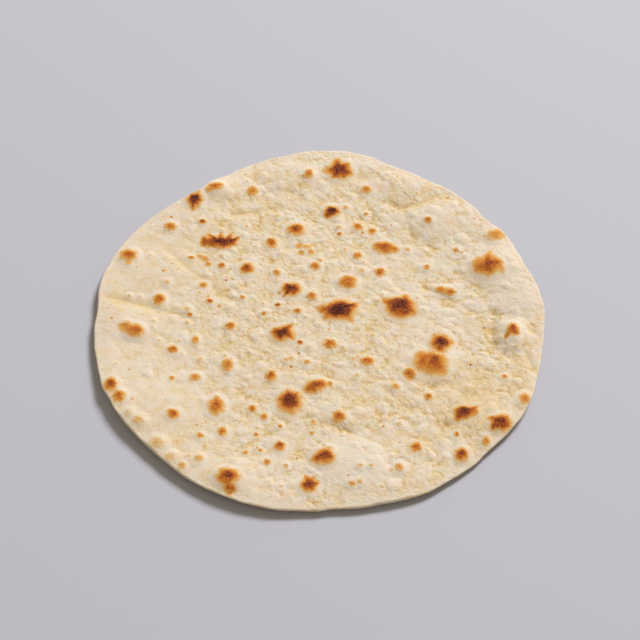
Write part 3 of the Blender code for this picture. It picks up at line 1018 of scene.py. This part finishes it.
@dataclass(frozen=True)
class BakedDough:
    """The finish of the bread: pale dough toasted on its blisters; its tan hollows and whiter bumps are
    partly its own tone, partly painted shade and light.
    """

    # The whiter tone of dusted patches and of bumps: partly the dough's own, partly painted light.
    floury_and_lit: Colour = on_screen(237, 221, 199)
    pale: Colour = on_screen(233, 207, 162)
    # The tan of hollows and creases: partly the dough's own, partly painted shade.
    tan: Colour = on_screen(220, 184, 124)
    roughness: float = 0.85
    sheen_of_light: float = 0.12
    softness: float = 0.6
    softness_reach: float = 0.0018
    softness_tint: Colour = (1.0, 0.5, 0.25)
    bend: Cloud = Cloud(grain=10.0 / 3.0, detail=3.0)
    bend_reach: float = 3.5
    lump: float = 2.8
    knob: float = 1.4
    knob_share: float = 0.4
    crease_power: float = 2.0
    patch: Cloud = Cloud(grain=11.0)
    patch_span: Span = (0.35, 0.6)
    least_rough: float = 0.25
    fine: Cloud = Cloud(grain=1.2, detail=3.0, roughness=0.65)
    fine_height: float = 0.65
    bump_reach: float = 0.0005
    drift: Cloud = Cloud(grain=6.0, detail=3.0, roughness=0.7)
    drift_flour: float = 2.3
    # Whiter on dusted patches and darker where their share paints shade; whiter on bumps, partly painted
    # light.
    patch_dusting_and_shade: float = 0.5
    bump_flour_and_light: float = 0.8
    flour_span: Span = (-0.2, 0.9)
    stain: Cloud = Cloud(grain=3.0)
    stain_strength: float = 1.5
    # Tan in the fine creases: partly the dough's own tone, partly painted shade.
    crease_tan_and_shade: float = 1.35
    crease_level: float = 0.3
    tan_span: Span = (0.35, 1.35)
    tan_share: float = 0.85
    toast_span: Span = (0.0, 0.08)
    speckle: Cloud = Cloud(grain=0.9, detail=2.0, roughness=0.7)
    speckle_burn: float = 1.3
    speckle_edge: float = 0.2
    char: Cloud = Cloud(grain=1.3, detail=2.0, roughness=0.6)
    spot_bend: Cloud = Cloud(grain=5.0 / 6.0)
    lobe: Cloud = Cloud(grain=1.0, detail=3.0, roughness=0.7)
    lobe_turns: float = 1.6
    lobe_reach: float = 0.6
    streak: Cloud = Cloud(grain=1.0)
    streak_turns: float = 6.0
    core: Shade = Shade(strength=0.65, fade=(0.15, 0.98), streaked=0.4)
    crust: Shade = Shade(strength=0.35, fade=(0.7, 1.3), streaked=0.15)
    halo: Shade = Shade(strength=0.09, fade=(0.8, 2.1))

    def material(self, layers: int) -> bpy.types.Material:
        """Make the material.

        Args:
            layers: how many layers of spots the mesh carries.

        Returns:
            The material.
        """
        sheet = NodeSheet("baked_dough")
        metres = sheet.value(sheet.node("ShaderNodeTexCoord"), "Object")
        place = sheet.vector("SCALE", metres, scale=1.0 / MM)
        creases = self._creases(sheet, place)
        burn = self._burn(sheet, place, layers)
        dough = self._dough(sheet, place, creases)
        toast = sheet.node("ShaderNodeValToRGB", {"stops": TOAST_STOPS}, {"Fac": burn})
        colour = sheet.mix(sheet.ease(burn, *self.toast_span), dough, sheet.value(toast, "Color"))
        height = self.fine_height * sheet.clouds(place, self.fine) - creases
        bump = sheet.node(
            "ShaderNodeBump", inputs={"Strength": 1.0, "Distance": self.bump_reach, "Height": height}
        )
        shader = sheet.node(
            "ShaderNodeBsdfPrincipled",
            inputs={
                "Base Color": colour,
                "Roughness": self.roughness,
                "Normal": sheet.value(bump),
                "Specular IOR Level": self.sheen_of_light,
                "Subsurface Weight": self.softness,
                "Subsurface Scale": self.softness_reach,
                "Subsurface Radius": self.softness_tint,
            },
        )
        return sheet.finish(shader)

    def _creases(self, sheet: NodeSheet, place: Value) -> Value:
        """The fine creases between lumps and knobs, strong in some patches of the rough skin.

        Args:
            sheet: the material's node tree.
            place: where they are read, in millimetres.

        Returns:
            How deep the creases are, from 0 in the middle of a lump.
        """
        bends = sheet.clouds(place, self.bend, "Color")
        bent = sheet.vector("ADD", place, sheet.vector("SCALE", bends, scale=self.bend_reach))
        lumps = sheet.cells(bent, self.lump)
        knobs = sheet.cells(bent, self.knob)
        patches = sheet.ease(sheet.clouds(place, self.patch), *self.patch_span)
        rough = sheet.attribute("rough", "Fac") * (self.least_rough + (1.0 - self.least_rough) * patches)
        return rough * (lumps**self.crease_power + self.knob_share * knobs**self.crease_power)

    def _dough(self, sheet: NodeSheet, place: Value, creases: Value) -> Value:
        """The colour of the dough between the toasted spots, whiter on bumps and tan in hollows and
        creases:
        partly the dough's own tone and partly painted light and shade.

        Args:
            sheet: the material's node tree.
            place: where it is read, in millimetres.
            creases: how deep the fine creases are.

        Returns:
            The colour.
        """
        drift = sheet.swing(place, self.drift)
        hollow = sheet.attribute("hollow", "Fac")
        flour_and_shade = self.patch_dusting_and_shade * sheet.attribute("flour_and_shade", "Fac") + self.drift_flour * drift
        # Whiter on the bumps and darker in the creases: partly the dough's own tone, partly painted
        # light and shade.
        flour_and_shade = flour_and_shade + self.bump_flour_and_light * (1.0 - hollow) - creases
        pale = sheet.mix(sheet.ease(flour_and_shade, *self.flour_span), self.pale, self.floury_and_lit)
        stains = sheet.swing(place, self.stain)
        # Tan in the hollows and creases: partly the dough's own tone, partly painted shade.
        deep = hollow + self.stain_strength * stains + self.crease_tan_and_shade * (creases - self.crease_level)
        return sheet.mix(self.tan_share * sheet.ease(deep, *self.tan_span), pale, self.tan)

    def _burn(self, sheet: NodeSheet, place: Value, layers: int) -> Value:
        """How toasted the surface is, from the layers of spots.

        Args:
            sheet: the material's node tree.
            place: where it is read, in millimetres.
            layers: how many layers of spots the mesh carries.

        Returns:
            The burn, from 0 on plain dough to about 1 where it is darkest.
        """
        speckle = sheet.swing(place, self.speckle)
        burn = self._toasted(sheet, speckle, 0)
        for layer in range(1, layers):
            part = self._toasted(sheet, speckle, layer)
            burn = burn + part - burn * part
        char = sheet.swing(place, self.char)
        return burn * (1.0 + char + self.speckle_burn * speckle)

    def _toasted(self, sheet: NodeSheet, speckle: Value, layer: int) -> Value:
        """How toasted one layer's spots make the surface.

        Args:
            sheet: the material's node tree.
            speckle: fine noise that frays the edges of the spots.
            layer: the layer's number.

        Returns:
            The burn, from 0 on plain dough to about 1 where it is darkest.
        """
        spot = sheet.attribute(f"spot_place_{layer}", "Vector")
        depth = sheet.attribute(f"spot_burn_{layer}", "Fac")
        bends = sheet.vector("SUBTRACT", sheet.clouds(spot, self.spot_bend, "Color"), (0.5, 0.5, 0.5))
        flat = sheet.vector("MULTIPLY", sheet.vector("ADD", spot, bends), (1.0, 1.0, 0.0))
        seed = sheet.vector("MULTIPLY", spot, (0.0, 0.0, 1.0))
        away = sheet.vector("LENGTH", flat)
        side = sheet.vector("NORMALIZE", flat)
        lobes, streaks = (
            sheet.swing(sheet.vector("ADD", sheet.vector("SCALE", side, scale=turns), seed), cloud)
            for turns, cloud in ((self.lobe_turns, self.lobe), (self.streak_turns, self.streak))
        )
        reach = away * (1.0 - self.lobe_reach * lobes) + self.speckle_edge * speckle
        toast = self.core.drawn(sheet, reach, streaks) + self.crust.drawn(sheet, reach, streaks)
        return depth * (toast + self.halo.drawn(sheet, away, streaks))


TOAST_STOPS = (
    (0.0, on_screen(228, 203, 160)),
    (0.05, on_screen(230, 196, 144)),
    (0.1, on_screen(230, 186, 124)),
    (0.2, on_screen(225, 166, 90)),
    (0.3, on_screen(217, 147, 65)),
    (0.4, on_screen(206, 127, 48)),
    (0.5, on_screen(191, 108, 42)),
    (0.6, on_screen(171, 90, 39)),
    (0.7, on_screen(149, 75, 38)),
    (0.85, on_screen(114, 54, 34)),
    (1.0, on_screen(72, 36, 28)),
)


@dataclass(frozen=True)
class PaleFloor:
    """The finish of the floor."""

    colour: Colour = on_screen(201, 199, 205)
    roughness: float = 0.9
    sheen_of_light: float = 0.2

    def material(self) -> bpy.types.Material:
        """Make the material.

        Returns:
            The material.
        """
        sheet = NodeSheet("pale_floor")
        shader = sheet.node(
            "ShaderNodeBsdfPrincipled",
            inputs={
                "Base Color": (*self.colour, 1.0),
                "Roughness": self.roughness,
                "Specular IOR Level": self.sheen_of_light,
            },
        )
        return sheet.finish(shader)


# ---------------------------------------------------------------- the bread


@dataclass
class Lavash:
    """The bread: a fine mesh of the sheet, and the layers of spots that its finish reads."""

    sheet: Sheet = Sheet()
    finish: BakedDough = BakedDough()
    rings: int = 80
    top_cuts: int = 1
    rim_rows: int = 4
    edge_rounding: float = 0.8
    edge_share: float = 0.25
    layers: int = 7
    spot_reach: float = 2.2
    spot_margin: float = 1.0
    spot_fade: float = 0.4
    spot_shapes: Span = (5.0, 90.0)
    seam: float = 0.4
    burn_power: float = 1.65
    burn_gain: float = 0.77
    core_shift: float = 0.25
    reach: float = 121.0
    pimples: int = 170
    pimple_sizes: Span = (0.7, 2.0)
    pimple_burns: Span = (0.0, 0.38)
    bubbles: int = 700
    bubble_sizes: Span = (1.4, 5.5)
    faint_dots: int = 160
    dot_sizes: Span = (0.45, 1.1)
    dot_burns: Span = (0.25, 0.6)
    under_spots: int = 70
    under_sizes: Span = (1.5, 7.0)
    under_burns: Span = (0.4, 0.85)
    seed: int = 7

    def build(self) -> bpy.types.Object:
        """Shape the mesh, dress it and add it to the scene.

        Returns:
            The bread's object.
        """
        draw = random.Random(self.seed)
        pimples = scattered(draw, self.pimples, self.reach, self.pimple_sizes, self.pimple_burns)
        dots = scattered(draw, self.faint_dots, self.reach, self.dot_sizes, self.dot_burns)
        under = scattered(draw, self.under_spots, self.reach, self.under_sizes, self.under_burns)
        bubbles = self._pale_bubbles(draw)
        plate = self._plate()
        flat = np.array([vertex.co for vertex in plate.verts])
        shaped, shares = self._shaped(flat, pimples, bubbles)
        low, high = shaped.min(axis=0), shaped.max(axis=0)
        placed = shaped - ((low + high) / 2.0) * (1.0, 1.0, 0.0)
        for vertex, place in zip(plate.verts, placed):
            vertex.co = place * MM
        mesh = bpy.data.meshes.new("lavash_bread")
        bmesh.ops.triangulate(plate, faces=plate.faces[:])
        plate.to_mesh(mesh)
        plate.free()
        mesh.shade_smooth()
        on_top = flat[:, 2] > (Face.TOP.value + Face.UNDERSIDE.value) / 2.0
        top = [*LARGE_SPOTS, *LOBES, *SMALL_SPOTS, *SPECKS, *pimples, *dots]
        marks = {Face.TOP: top, Face.UNDERSIDE: under}
        self._mark_spots(mesh, shaped, on_top, marks)
        for name, values in shares.items():
            self._mark(mesh, name, values)
        mesh.materials.append(self.finish.material(self.layers))
        bread = bpy.data.objects.new("lavash_bread", mesh)
        bpy.context.scene.collection.objects.link(bread)
        return bread

    def _pale_bubbles(self, draw: random.Random) -> list[Spot]:
        """Scatter pale bubbles, fewer where the dough is smooth.

        Args:
            draw: the source of random numbers.

        Returns:
            The bubbles, as spots that are not toasted.
        """
        tried = scattered(draw, self.bubbles, self.reach, self.bubble_sizes, (0.0, 0.0))
        places = np.array([(spot.x, spot.y) for spot in tried])
        left = self.sheet.calm(places[:, 0], places[:, 1])
        return [spot for spot, share in zip(tried, left) if draw.random() < share**2]

    def _plate(self) -> bmesh.types.BMesh:
        """A hexagonal plate of even triangles, 1 thick, finer on top and with its rim in rows.

        Returns:
            The plate.
        """
        plate = bmesh.new()
        bmesh.ops.create_circle(plate, cap_ends=True, cap_tris=True, segments=HEXAGON_SIDES, radius=1.0)
        bmesh.ops.subdivide_edges(plate, edges=plate.edges[:], cuts=self.rings - 1, use_grid_fill=True)
        lifted = bmesh.ops.extrude_face_region(plate, geom=plate.faces[:])["geom"]
        upper = [item for item in lifted if isinstance(item, bmesh.types.BMVert)]
        bmesh.ops.translate(plate, verts=upper, vec=(0.0, 0.0, Face.TOP.value))
        uprights = [edge for edge in plate.edges if edge.verts[0].co.z != edge.verts[1].co.z]
        bmesh.ops.subdivide_edges(plate, edges=uprights, cuts=self.rim_rows - 1)
        top = [edge for edge in plate.edges if all(end.co.z == Face.TOP.value for end in edge.verts)]
        bmesh.ops.subdivide_edges(plate, edges=top, cuts=self.top_cuts, use_grid_fill=True)
        bmesh.ops.recalc_face_normals(plate, faces=plate.faces[:])
        return plate

    def _shaped(
        self, flat: np.ndarray, pimples: Sequence[Spot], bubbles: Sequence[Spot]
    ) -> tuple[np.ndarray, dict[str, np.ndarray]]:
        """Carry the points of the flat plate to their places on the bread.

        Args:
            flat: points of the plate, whose height runs from 0 to 1.
            pimples: the small toasted bumps.
            bubbles: the pale bubbles.

        Returns:
            Points in millimetres, and the shares that the finish reads, by name.
        """
        side_angle = math.tau / HEXAGON_SIDES
        side = np.round(np.arctan2(flat[:, 1], flat[:, 0]) / side_angle) * side_angle
        outwards = flat[:, 0] * np.cos(side) + flat[:, 1] * np.sin(side)
        sideways = flat[:, 1] * np.cos(side) - flat[:, 0] * np.sin(side)
        share = outwards / math.cos(side_angle / 2.0)
        across = np.divide(sideways, share, out=np.zeros_like(share), where=share > 0.0)
        angle = side + across / math.sin(side_angle / 2.0) * side_angle / 2.0
        edge = share > 1.0 - self.edge_share / self.rings
        turn = math.pi * flat[:, 2]
        bulge = np.where(edge, self.edge_rounding * (1.0 - np.sin(turn)), self.edge_rounding * share)
        rim = self.sheet.outline.radius(angle)
        radius = rim * share - bulge
        x = radius * np.cos(angle)
        y = radius * np.sin(angle)
        bottom = self.sheet.underside(x, y)
        top, shares = self.sheet.top(x, y, rim - radius, pimples, bubbles)
        top = np.maximum(top, bottom + self.sheet.least_thickness)
        level = (1.0 - np.cos(turn)) / 2.0
        return np.stack((x, y, bottom + level * (top - bottom)), -1), shares

    @staticmethod
    def _mark(mesh: bpy.types.Mesh, name: str, values: np.ndarray) -> None:
        """Store a number, or a vector, at each point of a mesh.

        Args:
            mesh: the mesh.
            name: the attribute's name.
            values: one number or one vector a point.
        """
        if values.ndim == 1:
            layer = mesh.attributes.new(name, "FLOAT", "POINT")
            layer.data.foreach_set("value", values.astype(np.float32))
        else:
            layer = mesh.attributes.new(name, "FLOAT_VECTOR", "POINT")
            layer.data.foreach_set("vector", values.astype(np.float32).ravel())

    def _layered(self, spots: Sequence[Spot]) -> list[list[Spot]]:
        """Share spots out over the layers, so that neighbours lie in different ones.

        Args:
            spots: the spots.

        Returns:
            The spots of each layer.
        """
        layers: list[list[Spot]] = [[] for _ in range(self.layers)]
        for spot in spots:
            rooms = [self._room(spot, layer) for layer in layers]
            layers[rooms.index(max(rooms))].append(spot)
        return layers

    @staticmethod
    def _room(spot: Spot, layer: Sequence[Spot]) -> float:
        """How far the nearest spot of a layer is, as a share of both spots' sizes.

        Args:
            spot: the spot that looks for room.
            layer: the spots that the layer holds already.

        Returns:
            The share, which is infinite in an empty layer.
        """
        rooms = [math.inf]
        for other in layer:
            sizes = spot.half_width + spot.half_depth + other.half_width + other.half_depth
            rooms.append(math.hypot(spot.x - other.x, spot.y - other.y) / sizes)
        return min(rooms)

    def _mark_spots(
        self, mesh: bpy.types.Mesh, points: np.ndarray, on_top: np.ndarray, marks: dict[Face, list[Spot]]
    ) -> None:
        """Store each layer's nearest spot at each point: the place within it, and how dark it is.

        Args:
            mesh: the bread's mesh.
            points: its points in millimetres.
            on_top: which of them belong to the top.
            marks: the spots of each face.
        """
        draw = random.Random(self.seed)
        shared = {face: self._layered(spots) for face, spots in marks.items()}
        for index in range(self.layers):
            within = np.zeros((len(points), 3))
            burn = np.zeros(len(points))
            for face, side in ((Face.TOP, on_top), (Face.UNDERSIDE, ~on_top)):
                within[side], burn[side] = self._nearest(points[side], shared[face][index], draw)
            self._mark(mesh, f"spot_place_{index}", within)
            self._mark(mesh, f"spot_burn_{index}", burn)

    def _nearest(
        self, points: np.ndarray, spots: Sequence[Spot], draw: random.Random
    ) -> tuple[np.ndarray, np.ndarray]:
        """Find the nearest of some spots.

        Args:
            points: where it is looked for.
            spots: the spots.
            draw: the source of the number that tells one spot's ragged shape from another's.

        Returns:
            The place within the nearest spot, in half widths, with that number; and how dark it is.
        """
        nearest = np.full(len(points), np.inf)
        second = np.full(len(points), np.inf)
        within = np.zeros((len(points), 3))
        burn = np.zeros(len(points))
        for spot in spots:
            turn = math.radians(spot.turn)
            aside, ahead = points[:, 0] - spot.x, points[:, 1] - spot.y
            across = (aside * math.cos(turn) + ahead * math.sin(turn)) / spot.half_width
            along = (ahead * math.cos(turn) - aside * math.sin(turn)) / spot.half_depth
            away = np.hypot(across, along)
            closer = away < nearest
            second = np.minimum(second, np.maximum(away, nearest))
            nearest[closer] = away[closer]
            shape = np.full_like(away, draw.uniform(*self.spot_shapes))
            crown = along - self.core_shift * np.clip(1.0 - away, 0.0, None)
            within[closer] = np.stack((across, crown, shape), -1)[closer]
            limit = self.spot_reach + self.spot_margin / spot.half_width
            fade = 1.0 - smooth_step(limit - self.spot_fade, limit, away[closer])
            burn[closer] = self.burn_gain * spot.burn**self.burn_power * fade
        return within, burn * smooth_step(0.0, self.seam, second - nearest)


# ---------------------------------------------------------------- floor, light and camera


@dataclass
class Studio:
    """A plain pale floor, soft light and the camera."""

    floor_finish: PaleFloor = PaleFloor()
    floor_side: float = 6.0
    floor_cells: int = 4
    camera_elevation: float = math.radians(52.2)
    camera_distance: float = 1.0237
    camera_aim: tuple[float, float, float] = (-0.0001, 0.001, 0.0)
    camera_lens: float = 100.0
    key_direction: tuple[float, float, float] = (0.45, 0.62, 0.75)
    key_distance: float = 4.0
    key_size: float = 1.25
    key_power: float = 150.0
    key_colour: Colour = (0.975, 1.0, 1.065)
    sky: Colour = (1.0, 0.93, 0.77)
    sky_strength: float = 0.32

    def build(self) -> None:
        """Add the floor, the lights and the camera."""
        self._floor()
        self._key_light()
        self._sky()
        self._camera()
        bpy.context.scene.view_settings.view_transform = "Standard"

    def _floor(self) -> None:
        """The floor, on the resting plane."""
        plane = bmesh.new()
        bmesh.ops.create_grid(
            plane, x_segments=self.floor_cells, y_segments=self.floor_cells, size=self.floor_side / 2.0
        )
        mesh = bpy.data.meshes.new("floor")
        plane.to_mesh(mesh)
        plane.free()
        mesh.materials.append(self.floor_finish.material())
        floor = bpy.data.objects.new("floor", mesh)
        bpy.context.scene.collection.objects.link(floor)

    def _key_light(self) -> None:
        """The soft light from the back right."""
        light = bpy.data.lights.new("key", "AREA")
        light.shape = "SQUARE"
        light.size = self.key_size
        light.energy = self.key_power
        light.color = self.key_colour
        lamp = bpy.data.objects.new("key", light)
        towards = Vector(self.key_direction).normalized()
        lamp.location = towards * self.key_distance
        lamp.rotation_euler = towards.to_track_quat("Z", "Y").to_euler()
        bpy.context.scene.collection.objects.link(lamp)

    def _sky(self) -> None:
        """Even light from all round."""
        world = bpy.data.worlds.new("soft_sky")
        world.use_nodes = True
        background = world.node_tree.nodes["Background"]
        background.inputs["Color"].default_value = (*self.sky, 1.0)
        background.inputs["Strength"].default_value = self.sky_strength
        bpy.context.scene.world = world

    def _camera(self) -> None:
        """The camera, aimed at the middle of the bread."""
        camera = bpy.data.cameras.new("camera")
        camera.lens = self.camera_lens
        holder = bpy.data.objects.new("camera", camera)
        back = Vector((0.0, -math.cos(self.camera_elevation), math.sin(self.camera_elevation)))
        holder.location = Vector(self.camera_aim) + back * self.camera_distance
        holder.rotation_euler = back.to_track_quat("Z", "Y").to_euler()
        bpy.context.scene.collection.objects.link(holder)
        bpy.context.scene.camera = holder


def main() -> None:
    """Build the studio and the bread, and report each piece."""
    logging.basicConfig(level=logging.INFO)
    Studio().build()
    bread = Lavash().build()
    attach(bread, BODY)
    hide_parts(NODE)
    LOG.info("%s: %d faces", bread.name, len(bread.data.polygons))


if __name__ == "__main__":
    main()
